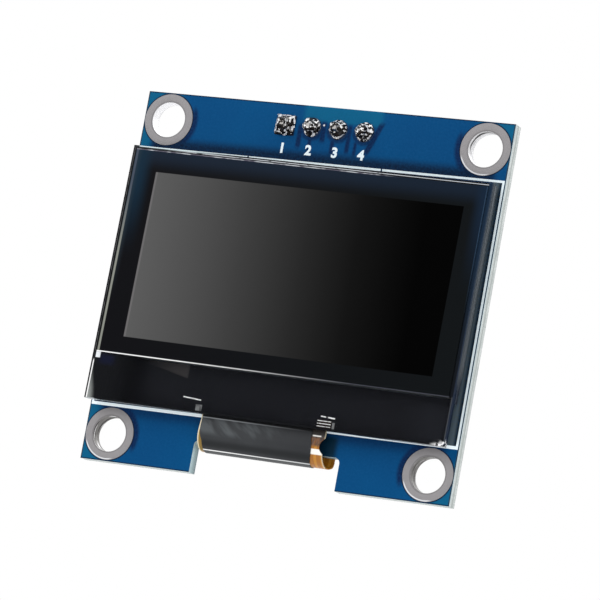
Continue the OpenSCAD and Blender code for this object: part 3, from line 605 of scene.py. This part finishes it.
# the middle is clear; the margin, the edges, the ledge's left end and the chips are not
cover = (edge.step(0.42, 0.38) * (1 - ledge)).most(edge.step(0.2, 0.16))
cover = cover.most(from_left.step(6.5, 1.5) * ledge).most(chipped * 0.6) * 0.94 + 0.04
feed(glass_shader, Base_Color=tone, Alpha=cover)
glass_outline = oblong(GLASS_LEFT, GLASS_X, -GLASS_Z, GLASS_Z)
glass_sheet = plate("front_glass_sheet", glass_outline, GLASS_Y, GLASS_BACK_Y, bevel=0.05, material=glass)
new_piece("front_glass_sheet", glass_sheet, ["front_glass"])

cap_glass, cap_shader, place = finish("rear_glass", Roughness=0.15, Specular_IOR_Level=0.3)
across, y, up = panel_place(place)
wall = place.spread(0.4, 3.0, 0.4).cloud(1.0, 2.0).shade(paint(78, 84, 88), paint(108, 114, 120))
wall = up.step(-6.8, -4.0).shade(paint(48, 54, 64), wall)
feed(cap_shader, Base_Color=wall)
dress(cap_glass, "rear_glass")

ink, ink_shader, place = finish("shield_ink", Roughness=0.6, Specular_IOR_Level=0.01)
across, y, up = panel_place(place)
# a paler wedge at the ledge's left is a painted reflection, and the flex's bond shows through at its right
from_tip = across + 13.5
reflected_wedge = (up - POLAR_LOW + 0.05 + from_tip * 0.215).step(-0.08, 0.08) * from_tip.step(0.0, 5.4)
reflected_wedge = reflected_wedge * (5.45 - from_tip).step(-0.1, 0.1)
side = (across - 12.0).step(0.0, 4.0) * 0.3
tone = side.shade(paint(28, 29, 33), paint(42, 44, 50))
tone = reflected_wedge.shade(tone, paint(58, 57, 58))
bonded = across.within(5.0, 6.3, 0.1) * up.within(-11.5, -10.55, 0.1)
tone = (bonded * up.spread(0, 1, 0).cloud(6.0).step(0.4, 0.6)).shade(tone, paint(52, 40, 28))
feed(ink_shader, Base_Color=tone)
dress(ink, "light_shield", "emitter_layers")

polarizer, polarizer_shader, place = finish("polarizer_film", Roughness=0.2, Specular_IOR_Level=0.012)
across, y, up = panel_place(place)
# the lit area is off: a painted reflection of the room, bright at the left and fading to black at the right
lit = (LIT_X - abs(across - LIT_ACROSS)).step(0, 0.06) * (LIT_Z - abs(up - LIT_UP)).step(0, 0.06)
fade = across + up * 0.03
greys = [(0.0, 89), (0.22, 72), (0.345, 59), (0.46, 47), (0.54, 37), (0.62, 28), (0.7, 18), (0.82, 8),
         (0.9, 2)]
stops = [(position, paint(grey, grey, grey)) for position, grey in greys]
room_reflection = fade.node("ValToRGB", {"stops": stops}, {0: (fade + 15.0) / 30.0})
# a painted highlight along the lit area's left edge
left_rim = (across - LIT_ACROSS + LIT_X).within(0.0, 0.22, 0.03) * lit
room_reflection = (left_rim * 0.35).shade(room_reflection, paint(128, 124, 126))
border = ((across + 17.0) / 34.0).shade(paint(18, 18, 21), paint(18, 21, 23))
high = (up - 9.2).step(0.0, 1.6) * 0.9
corner = (-14.8 - across).step(0.0, 1.4) * up.step(1.0, 9.0)
border = high.shade(border, paint(26, 36, 50))
border = corner.shade(border, paint(22, 42, 58))
tone = lit.shade(border, room_reflection)
# the film's cut edges carry painted highlights: pale at the left, the top and the bottom, brightest towards
# the left, and bluish at the right
from_left, from_right, from_low, from_top = (
    across + POLAR_X, POLAR_X - across, up - POLAR_LOW, POLAR_TOP - up)
near_left = (0.8 - from_left).step(0.0, 0.7) * up.step(-3.0, 3.0) * 0.5
tone = near_left.shade(tone, paint(48, 60, 68))
left_edge = up.step(1.0, 9.0).shade(paint(138, 140, 132), paint(70, 78, 92))
tone = from_left.within(0.06, 0.26, 0.04).shade(tone, left_edge)
top_edge = place.cloud(0.7, 2.0).step(0.4, 0.6).shade(paint(96, 92, 106), paint(196, 200, 206))
tone = (from_top.step(0.1, 0.06) * across.step(9.0, 5.0)).shade(tone, top_edge)
tone = (from_right.step(1.3, 0.1) * up.step(1.0, 11.0)).shade(tone, paint(24, 38, 56))
tone = (from_right.step(0.06, 0.04) * up.step(-1.0, 8.0)).shade(tone, paint(46, 66, 88))
low_edge = (across + 17.0).step(26.0, 4.0).shade(paint(66, 68, 76), paint(250, 250, 250))
tone = from_low.step(0.11, 0.06).shade(tone, low_edge)
feed(polarizer_shader, Base_Color=tone)
polar_outline = oblong(-POLAR_X, POLAR_X, POLAR_LOW, POLAR_TOP)
polar_sheet = plate("polarizer_sheet", polar_outline, POLAR_Y, GLASS_Y, bevel=0.04, material=polarizer)
new_piece("polarizer_sheet", polar_sheet, ["polarizer"])

resin, resin_shader, place = finish("seal_resin", Roughness=0.5)
feed(resin_shader, Base_Color=place.cloud(2.0).shade(paint(38, 42, 44), paint(50, 54, 56)))
dress(resin, "seal")
sheet, sheet_shader, place = finish("desiccant_sheet", Roughness=0.8)
feed(sheet_shader, Base_Color=place.cloud(3.0).shade(paint(200, 198, 188), paint(220, 218, 208)))
dress(sheet, "desiccant")
foam, foam_shader, place = finish("tape_foam", Roughness=0.85, Specular_IOR_Level=0.2)
feed(foam_shader, Base_Color=place.cloud(8.0, 4.0).shade(paint(206, 206, 200), paint(232, 232, 226)),
     Normal=relief(place.cloud(14.0, 4.0), 0.03))
dress(foam, "mounting_tape")
marks, marks_shader, place = finish("mark_metal", Roughness=0.5)
across, y, up = panel_place(place)
# the two square marks beside the flex are striped, and the lines are bright
stripes = place.spread(1, 0, 0.2).cloud(5.0, 2.0).step(0.4, 0.6)
stripes = stripes.shade(paint(70, 72, 74), paint(124, 126, 128))
blocks = (abs(across) - 5.8).step(0.0, 0.05)
blocks = blocks.least((abs(across) - 6.35).step(0, 0.02).most(across.step(0.0, -0.1)))
lines = place.cloud(3.0, 3.0).step(0.3, 0.5).shade(paint(120, 122, 124), paint(244, 245, 246))
feed(marks_shader, Base_Color=(blocks * up.step(-10.55, -10.6)).shade(lines, stripes))
dress(marks, "glass_marks")
silicon, silicon_shader, place = finish("chip_silicon", Roughness=0.25, Metallic=0.4)
feed(silicon_shader, Base_Color=place.cloud(2.0).shade(paint(60, 62, 70), paint(78, 80, 90)))
dress(silicon, "driver_chip")


# ---------------------------------------------------------------------------
# Flex circuit: amber polyimide with copper lines inside it, bonded behind the
# glass ledge, folded through the notch and soldered to the board's back.
# ---------------------------------------------------------------------------

FLEX_X, FLEX_T, BOND_H, BACK_Y = 6.0, 0.1, 1.5, 0.07
BOND_Y, LEAN, LEAN_R, BACK_R = -1.94, math.radians(8), 3.0, 0.7
FOLD_BACK_Z = -13.84
BITE_X, BITE_Z, BITE_R, BACK_SHIFT = 6.37, -12.85, 0.75, 0.35
FOLD_LOW_Z, FOLD_LOW_Y = FOLD_BACK_Z - BACK_R, BACK_Y - BACK_R
gap_y = FOLD_LOW_Y - (BOND_Y - LEAN_R * (1 - math.cos(LEAN)))
gap_z = -GLASS_Z - LEAN_R * math.sin(LEAN) - FOLD_LOW_Z
FRONT_R = (gap_y * math.cos(LEAN) + gap_z * math.sin(LEAN)) / (1 + math.sin(LEAN))
lean_run = (gap_z - FRONT_R * (1 + math.sin(LEAN))) / math.cos(LEAN)


def bend(a, b, radius, start, stop, steps):
    """Places round a bend about (a, b), each with its angle, from start to stop."""
    turns = [start + (stop - start) * t / steps for t in range(steps + 1)]
    return [(a + radius * math.cos(turn), b + radius * math.sin(turn), turn) for turn in turns]


def fold_path(bond, back):
    """The fold's middle line from the glass to the board's back: (y, z, the way out as an angle)."""
    path = [(BOND_Y, -GLASS_Z + bond * (1 - t / 6), math.pi) for t in range(6)] if bond else []
    path += bend(BOND_Y - LEAN_R, -GLASS_Z, -LEAN_R, math.pi, math.pi - LEAN, 8)
    y, z, out = path[-1]
    path += [(y - math.sin(LEAN) * lean_run * t / 5, z - math.cos(LEAN) * lean_run * t / 5, out)
             for t in range(1, 6)]
    path += bend(FOLD_LOW_Y, FOLD_LOW_Z + FRONT_R, FRONT_R, out, 1.5 * math.pi, 40)[1:]
    path += bend(FOLD_LOW_Y, FOLD_BACK_Z, BACK_R, 1.5 * math.pi, 2 * math.pi, 24)[1:]
    if back:
        path += [(BACK_Y, FOLD_BACK_Z + back * t / 8, 2 * math.pi) for t in range(1, 9)]
    return path


def folded(name, path, out, thick, left, right, across, material, ripple=None):
    """A sheet along the fold, at a distance out from its middle line, between left and right(z, turn)."""
    verts, faces = [], []
    columns = across + 1
    for y, z, turn in path:
        edge_left, edge_right = left(z, turn), right(z, turn)
        for side in (out - thick / 2, out + thick / 2):
            for c in range(columns):
                x = edge_left + (edge_right - edge_left) * c / across
                lift = side + (ripple(x, z) if ripple and side > out else 0)
                verts.append(PANEL @ Vector((x, y + lift * math.cos(turn), z + lift * math.sin(turn))))
    row = 2 * columns
    for p in range(len(path) - 1):
        for c in range(across):
            for base, flip in ((0, 1), (columns, 0)):
                a, b = p * row + base + c, (p + 1) * row + base + c
                faces.append((a, a + 1, b + 1, b) if flip else (a, b, b + 1, a + 1))
        for c in (0, across):
            a, b = p * row + c, (p + 1) * row + c
            faces.append((a, a + columns, b + columns, b))
    for p in (0, len(path) - 1):
        for c in range(across):
            a = p * row + c
            faces.append((a, a + 1, a + columns + 1, a + columns))
    return shape(name, verts, faces, material)


def neck(z, turn):
    """The right edge of the flex circuit, with the round bite out of its front layer."""
    if turn > 1.5 * math.pi:
        return FLEX_X + BACK_SHIFT * min(1.0, (turn / math.pi - 1.5) * 4)
    bite = BITE_R ** 2 - (z - BITE_Z) ** 2
    return FLEX_X if bite <= 0 else min(FLEX_X, BITE_X - math.sqrt(bite))


amber, amber_shader, place = finish("polyimide", Specular_IOR_Level=0.4)
across, y, up = panel_place(place)
lines = abs((across * 1.6).fraction() - 0.5).step(0.16, 0.24)
film = lines.shade(paint(192, 130, 38), paint(168, 106, 26))
front_layer = (y + 0.9).step(0.1, -0.1)
# the front layer is brown in the panel's shade, with bright lines where it turns to the light
deep = (up + 13.1).step(0.0, 0.4) * front_layer
brown = place.spread(2, 1, 1).cloud(1.4, 3.0).step(0.35, 0.6).shade(paint(44, 24, 8), paint(112, 66, 20))
film = deep.shade(film, brown)
film = ((up + 12.2).step(0.0, 0.25) * front_layer).shade(film, paint(26, 18, 12))
shine = up.within(-13.62, -13.16, 0.05) * front_layer * across.step(4.0, 4.3)
film = shine.shade(film, paint(254, 252, 244))
dash = up.within(-12.06, -11.94, 0.03) * across.within(4.8, 5.6, 0.06) * front_layer
film = dash.shade(film, paint(244, 242, 236))
# the sheet's cut edges are paler than its faces
left_high = (up + 12.9).step(0.0, 0.3) * (across + 5.5).step(0.0, -0.1) * front_layer
film = left_high.shade(film, paint(232, 230, 226))
left_rim = (-5.9 - across).step(-0.04, 0.04) * (-11.0 - up).step(0.0, 0.1)
left_bend = (across + 5.0).step(0.0, -0.3) * front_layer * (-12.9 - up).step(0.0, 0.2)
film = left_bend.shade(film, paint(140, 112, 46))
film = left_rim.most(across.step(5.9, 5.97) * front_layer * 0.6).shade(film, paint(232, 220, 186))
feed(amber_shader, Base_Color=film, Roughness=place.cloud(2.0) * 0.1 + 0.2, Normal=relief(lines, 0.01))

fold = folded("flex_fold", fold_path(bond=BOND_H, back=0.0), out=0.0, thick=FLEX_T,
              left=lambda z, turn: -FLEX_X, right=neck, across=24, material=amber)
TAIL_X, TAIL_TOP, TAIL_LOW, TAIL_R, NECK_R = 10.83, -5.0, -9.0, 0.5, 1.0
# the tail's outline: up its right side, and down its left one
tail = []
for side in (1, -1):
    edge = FLEX_X + (BACK_SHIFT if side > 0 else 0)
    foot = PANEL @ Vector((side * edge, 0, FOLD_BACK_Z))
    head = PANEL @ Vector((side * edge, 0, TAIL_LOW - PANEL_Z))
    rounds = bend(side * head.x + NECK_R, TAIL_LOW - NECK_R, NECK_R, math.pi, math.pi / 2, 8)
    rounds += bend(TAIL_X - TAIL_R, TAIL_LOW + TAIL_R, TAIL_R, -math.pi / 2, 0, 6)
    rounds += bend(TAIL_X - TAIL_R, TAIL_TOP - TAIL_R, TAIL_R, 0, math.pi / 2, 6)
    part = [(foot.x, foot.z)] + [(side * x, z) for x, z, turn in rounds]
    tail += part[::side]
flat = plate("tail", tail, BACK_Y - FLEX_T / 2, BACK_Y + FLEX_T / 2, bevel=0.02, material=amber,
             place=Matrix.Identity(4))
whole = bmesh.new()
whole.from_mesh(fold)
whole.from_mesh(flat)
whole.to_mesh(fold)
whole.free()
new_piece("flex_circuit_folded", fold, ["flex_circuit"])


# ---------------------------------------------------------------------------
# Fold tape: a thin grey film stuck over the flex circuit's fold by hand. It is
# a little askew, wrinkled at its upper left, with a painted highlight along the bend.
# ---------------------------------------------------------------------------

TAPE_T, TAPE_LEFT, TAPE_RIGHT, TAPE_BACK = 0.06, 0.12, 1.3, 2.2
TAPE_ASKEW, TAPE_BULGE, TAPE_WRINKLE = 0.32, 0.22, 0.012

tape, tape_shader, place = finish("fold_tape_grey", Roughness=0.45, Specular_IOR_Level=0.1)
across, y, up = panel_place(place)
# the angle round the front of the bend: 0 at the front and 90 at the bottom
below, before = FOLD_LOW_Z + FRONT_R - up, FOLD_LOW_Y - y
round_bend = below.maths("ARCTAN2", below, before) * (180 / math.pi)
slanting = place.node("VectorRotate", {"rotation_type": "Y_AXIS"}, {
    "Vector": place.spread(1.0, 0.3, 1.0), "Angle": math.radians(-38)})
wrinkle = (slanting.spread(0.4, 1.0, 1.7).cloud(1.0, 2.0).step(0.46, 0.7)
           * (across - 1.5).step(1.5, -2.5) * (up + 13.1).step(-0.3, 0.3))
# painted light and shade: the wrinkles carry painted highlights over their relief, the tape is darker towards
# the right and across the front of the bend and paler beyond it, with a painted highlight along the bend,
# another along the top edge, and painted shade just under the glass
tone = place.cloud(0.6).shade(paint(52, 54, 56), paint(64, 66, 69))
tone = (wrinkle * 0.55).shade(tone, paint(96, 101, 104))
tone = (across.step(-2.0, 4.5) * 0.5).shade(tone, paint(42, 43, 46))
tone = (round_bend.within(22, 46, 10) * 0.75).shade(tone, paint(34, 36, 38))
tone = round_bend.step(60.5, 62).shade(tone, paint(80, 82, 84))
bend_highlight = round_bend.within(58, 63, 0.8) * y.step(-0.6, -0.7)
bend_highlight_tone = (across - 1.0).step(5.0, -6.0).shade(paint(208, 210, 212), paint(254, 254, 254))
tone = bend_highlight.shade(tone, bend_highlight_tone)
tape_top_glint = up.within(-11.74, -11.66, 0.02) * y.step(-1.5, -1.6)
tone = (up.step(-11.74, -11.72) * y.step(-1.5, -1.6)).shade(tone, paint(20, 21, 23))
tone = (tape_top_glint * (across - 4.0).step(2.0, -8.0)).shade(tone, paint(150, 154, 158))
feed(tape_shader, Base_Color=tone, Normal=relief(wrinkle + place.cloud(5.0) * 0.1, 0.03))


def tape_left(z, turn):
    """The tape was cut a little askew, so more amber shows beside it round the bend."""
    bent = min(1.0, max(0.0, (-12.4 - z) / 1.3)) if turn < 1.6 * math.pi else 1.0
    return -FLEX_X + TAPE_LEFT + TAPE_ASKEW * bent * bent


def tape_right(z, turn):
    """Its right end reaches a little further over the front of the bend."""
    bent = min(1.0, max(0.0, (-12.2 - z) / 2.3)) if turn < 1.5 * math.pi else 0.0
    return FLEX_X - TAPE_RIGHT + TAPE_BULGE * math.sin(math.pi * bent)


def wrinkled(x, z):
    return TAPE_WRINKLE * max(0.0, noise.noise(Vector((x * 0.5 + z * 0.9, x * 0.35 - z * 1.3, 3.0))))


tape_sheet = folded("fold_tape_sheet", fold_path(bond=0.0, back=TAPE_BACK), out=(FLEX_T + TAPE_T) / 2,
                    thick=TAPE_T, left=tape_left, right=tape_right, across=60, material=tape,
                    ripple=wrinkled)
new_piece("fold_tape_sheet", tape_sheet, ["fold_tape"])


# ---------------------------------------------------------------------------
# Parts on the back: chip resistors and capacitors with tinned ends, and the
# tail's thirty soldered contacts. Each kind is one shape set on its places.
# ---------------------------------------------------------------------------

def place_tree():
    """A tree that sets one shape on each point of a mesh, turned by the point's own angle."""
    tree = bpy.data.node_groups.new("set_on_places", "GeometryNodeTree")
    sockets = {}
    for name, kind in (("Places", "Geometry"), ("Shape", "Object"), ("Finish", "Material")):
        socket = tree.interface.new_socket(name, in_out="INPUT", socket_type="NodeSocket" + kind)
        sockets[name] = socket.identifier
    tree.interface.new_socket("Result", in_out="OUTPUT", socket_type="NodeSocketGeometry")
    start = tree.nodes.new("NodeGroupInput")
    end = tree.nodes.new("NodeGroupOutput")
    shape_node = tree.nodes.new("GeometryNodeObjectInfo")
    turn = tree.nodes.new("GeometryNodeInputNamedAttribute")
    turn.data_type = "FLOAT"
    turn.inputs["Name"].default_value = "turn"
    angles = tree.nodes.new("ShaderNodeCombineXYZ")
    placed = tree.nodes.new("GeometryNodeInstanceOnPoints")
    real = tree.nodes.new("GeometryNodeRealizeInstances")
    coat = tree.nodes.new("GeometryNodeSetMaterial")
    for a, b in (
        (start.outputs["Places"], placed.inputs["Points"]),
        (start.outputs["Shape"], shape_node.inputs["Object"]),
        (shape_node.outputs["Geometry"], placed.inputs["Instance"]),
        (turn.outputs["Attribute"], angles.inputs["Y"]),
        (angles.outputs[0], placed.inputs["Rotation"]),
        (placed.outputs[0], real.inputs[0]),
        (real.outputs[0], coat.inputs["Geometry"]),
        (start.outputs["Finish"], coat.inputs["Material"]),
        (coat.outputs[0], end.inputs[0]),
    ):
        tree.links.new(a, b)
    return tree, sockets


SET_TREE, SET_SOCKETS = place_tree()


def set_out(name, parts, places, material, nodes=()):
    """One piece: the joined parts, set on places of (x, y, z, degrees)."""
    joined = bmesh.new()
    for part in parts:
        joined.from_mesh(part)
    pattern_mesh = bpy.data.meshes.new(name + "_pattern")
    joined.to_mesh(pattern_mesh)
    joined.free()
    pattern = bpy.data.objects.new(name + "_pattern", pattern_mesh)
    points = bpy.data.meshes.new(name + "_places")
    points.from_pydata([Vector(p[:3]) * MM for p in places], [], [])
    turns = points.attributes.new("turn", "FLOAT", "POINT")
    for index, p in enumerate(places):
        turns.data[index].value = math.radians(p[3])
    carrier = bpy.data.objects.new(name + "_carrier", points)
    for thing in (pattern, carrier):
        bpy.context.scene.collection.objects.link(thing)
    modifier = carrier.modifiers.new("set_on_places", "NODES")
    modifier.node_group = SET_TREE
    modifier[SET_SOCKETS["Shape"]] = pattern
    modifier[SET_SOCKETS["Finish"]] = material
    graph = bpy.context.evaluated_depsgraph_get()
    mesh = bpy.data.meshes.new_from_object(carrier.evaluated_get(graph))
    for thing in (carrier, pattern):
        bpy.data.objects.remove(thing)
    mesh.name = name
    return new_piece(name, mesh, nodes)


def block(left, right, low, high, near, far, bevel, material):
    """A box between three pairs of places, near and far being heights (y), with its edges eased."""
    return plate("block", oblong(left, right, low, high), near, far, bevel, material, Matrix.Identity(4))


solder, solder_shader, place = finish("solder", Metallic=1.0)
feed(solder_shader, Base_Color=place.cloud(3.0).shade(paint(190, 190, 192), paint(216, 216, 218)),
     Roughness=place.cloud(5.0) * 0.2 + 0.22, Normal=relief(place.cloud(6.0), 0.02))
dress(solder, "flex_solder", "part_solder", "regulator_leads")

dark, dark_shader, place = finish("resistor_top", Roughness=0.4)
x, y, z = place.along()
glaze = place.cloud(3.0).shade(paint(18, 18, 20), paint(32, 32, 34))
feed(dark_shader, Base_Color=(y - 0.39).step(-0.02, 0.02).shade(paint(222, 220, 214), glaze))
tan, tan_shader, place = finish("capacitor_body", Roughness=0.5)
feed(tan_shader, Base_Color=place.cloud(3.0).shade(paint(168, 134, 98), paint(192, 156, 116)),
     Normal=relief(place.cloud(18.0), 0.01))
ends, ends_shader, place = finish("chip_ends", Metallic=0.9)
feed(ends_shader, Base_Color=place.cloud(4.0).shade(paint(176, 176, 178), paint(206, 206, 208)),
     Roughness=place.cloud(7.0) * 0.2 + 0.3)

# a chip's half length and half width, its tinned ends' length, and how far its body lies inside
# that outline at the ends and elsewhere, and its ends all round
CHIP_X, CHIP_Z, CHIP_END = 0.8, 0.4, 0.3
END_IN, BODY_IN, CAP_IN = 0.04, 0.03, 0.005
resistor_at = [(-11.6, 6.2, 90), (-9.4, 6.2, 90), (-7.2, 6.2, 90), (-5.0, 6.2, 90),
               (-11.6, 1.6, 0), (-7.8, 1.6, 0)]
capacitor_at = [(-9.1, -1.7, 90), (-6.3, -1.7, 90), (-3.5, -1.7, 90), (-0.7, -1.7, 90),
                (2.1, -1.7, 90), (4.9, -1.7, 90), (3.4, 8.6, 90), (12.2, 6.9, 90)]
for kind, at, height, coat, slot in (
    ("resistor", resistor_at, 0.45, dark, "resistor_top"),
    ("capacitor", capacitor_at, 0.8, tan, "capacitor_body"),
):
    places = [(x, MASK_T, z, turn) for x, z, turn in at]
    body = block(END_IN - CHIP_X, CHIP_X - END_IN, BODY_IN - CHIP_Z, CHIP_Z - BODY_IN,
                 BODY_IN, height - BODY_IN, bevel=0.02, material=coat)
    set_out(f"chip_{kind}s", [body], places, coat, [f"{kind}_{i}" for i in range(1, len(at) + 1)])
    caps = [block(left, left + CHIP_END, CAP_IN - CHIP_Z, CHIP_Z - CAP_IN,
                  CAP_IN, height - CAP_IN, bevel=0.05, material=ends)
            for left in (-CHIP_X, CHIP_X - CHIP_END)]
    set_out(f"chip_{kind}_ends", caps, places, ends)

CONTACT_X, CONTACT_LOW, CONTACT_TOP = 0.17, -6.78, -5.02
contact_at = [((i - (CONTACTS - 1) / 2) * CONTACT_PITCH, 0, 0, 0) for i in range(CONTACTS)]
contact = block(-CONTACT_X, CONTACT_X, CONTACT_LOW, CONTACT_TOP, 0.121, 0.139, bevel=0.008, material=ends)
set_out("tail_contacts", [contact], contact_at, ends, ["flex_contacts"])
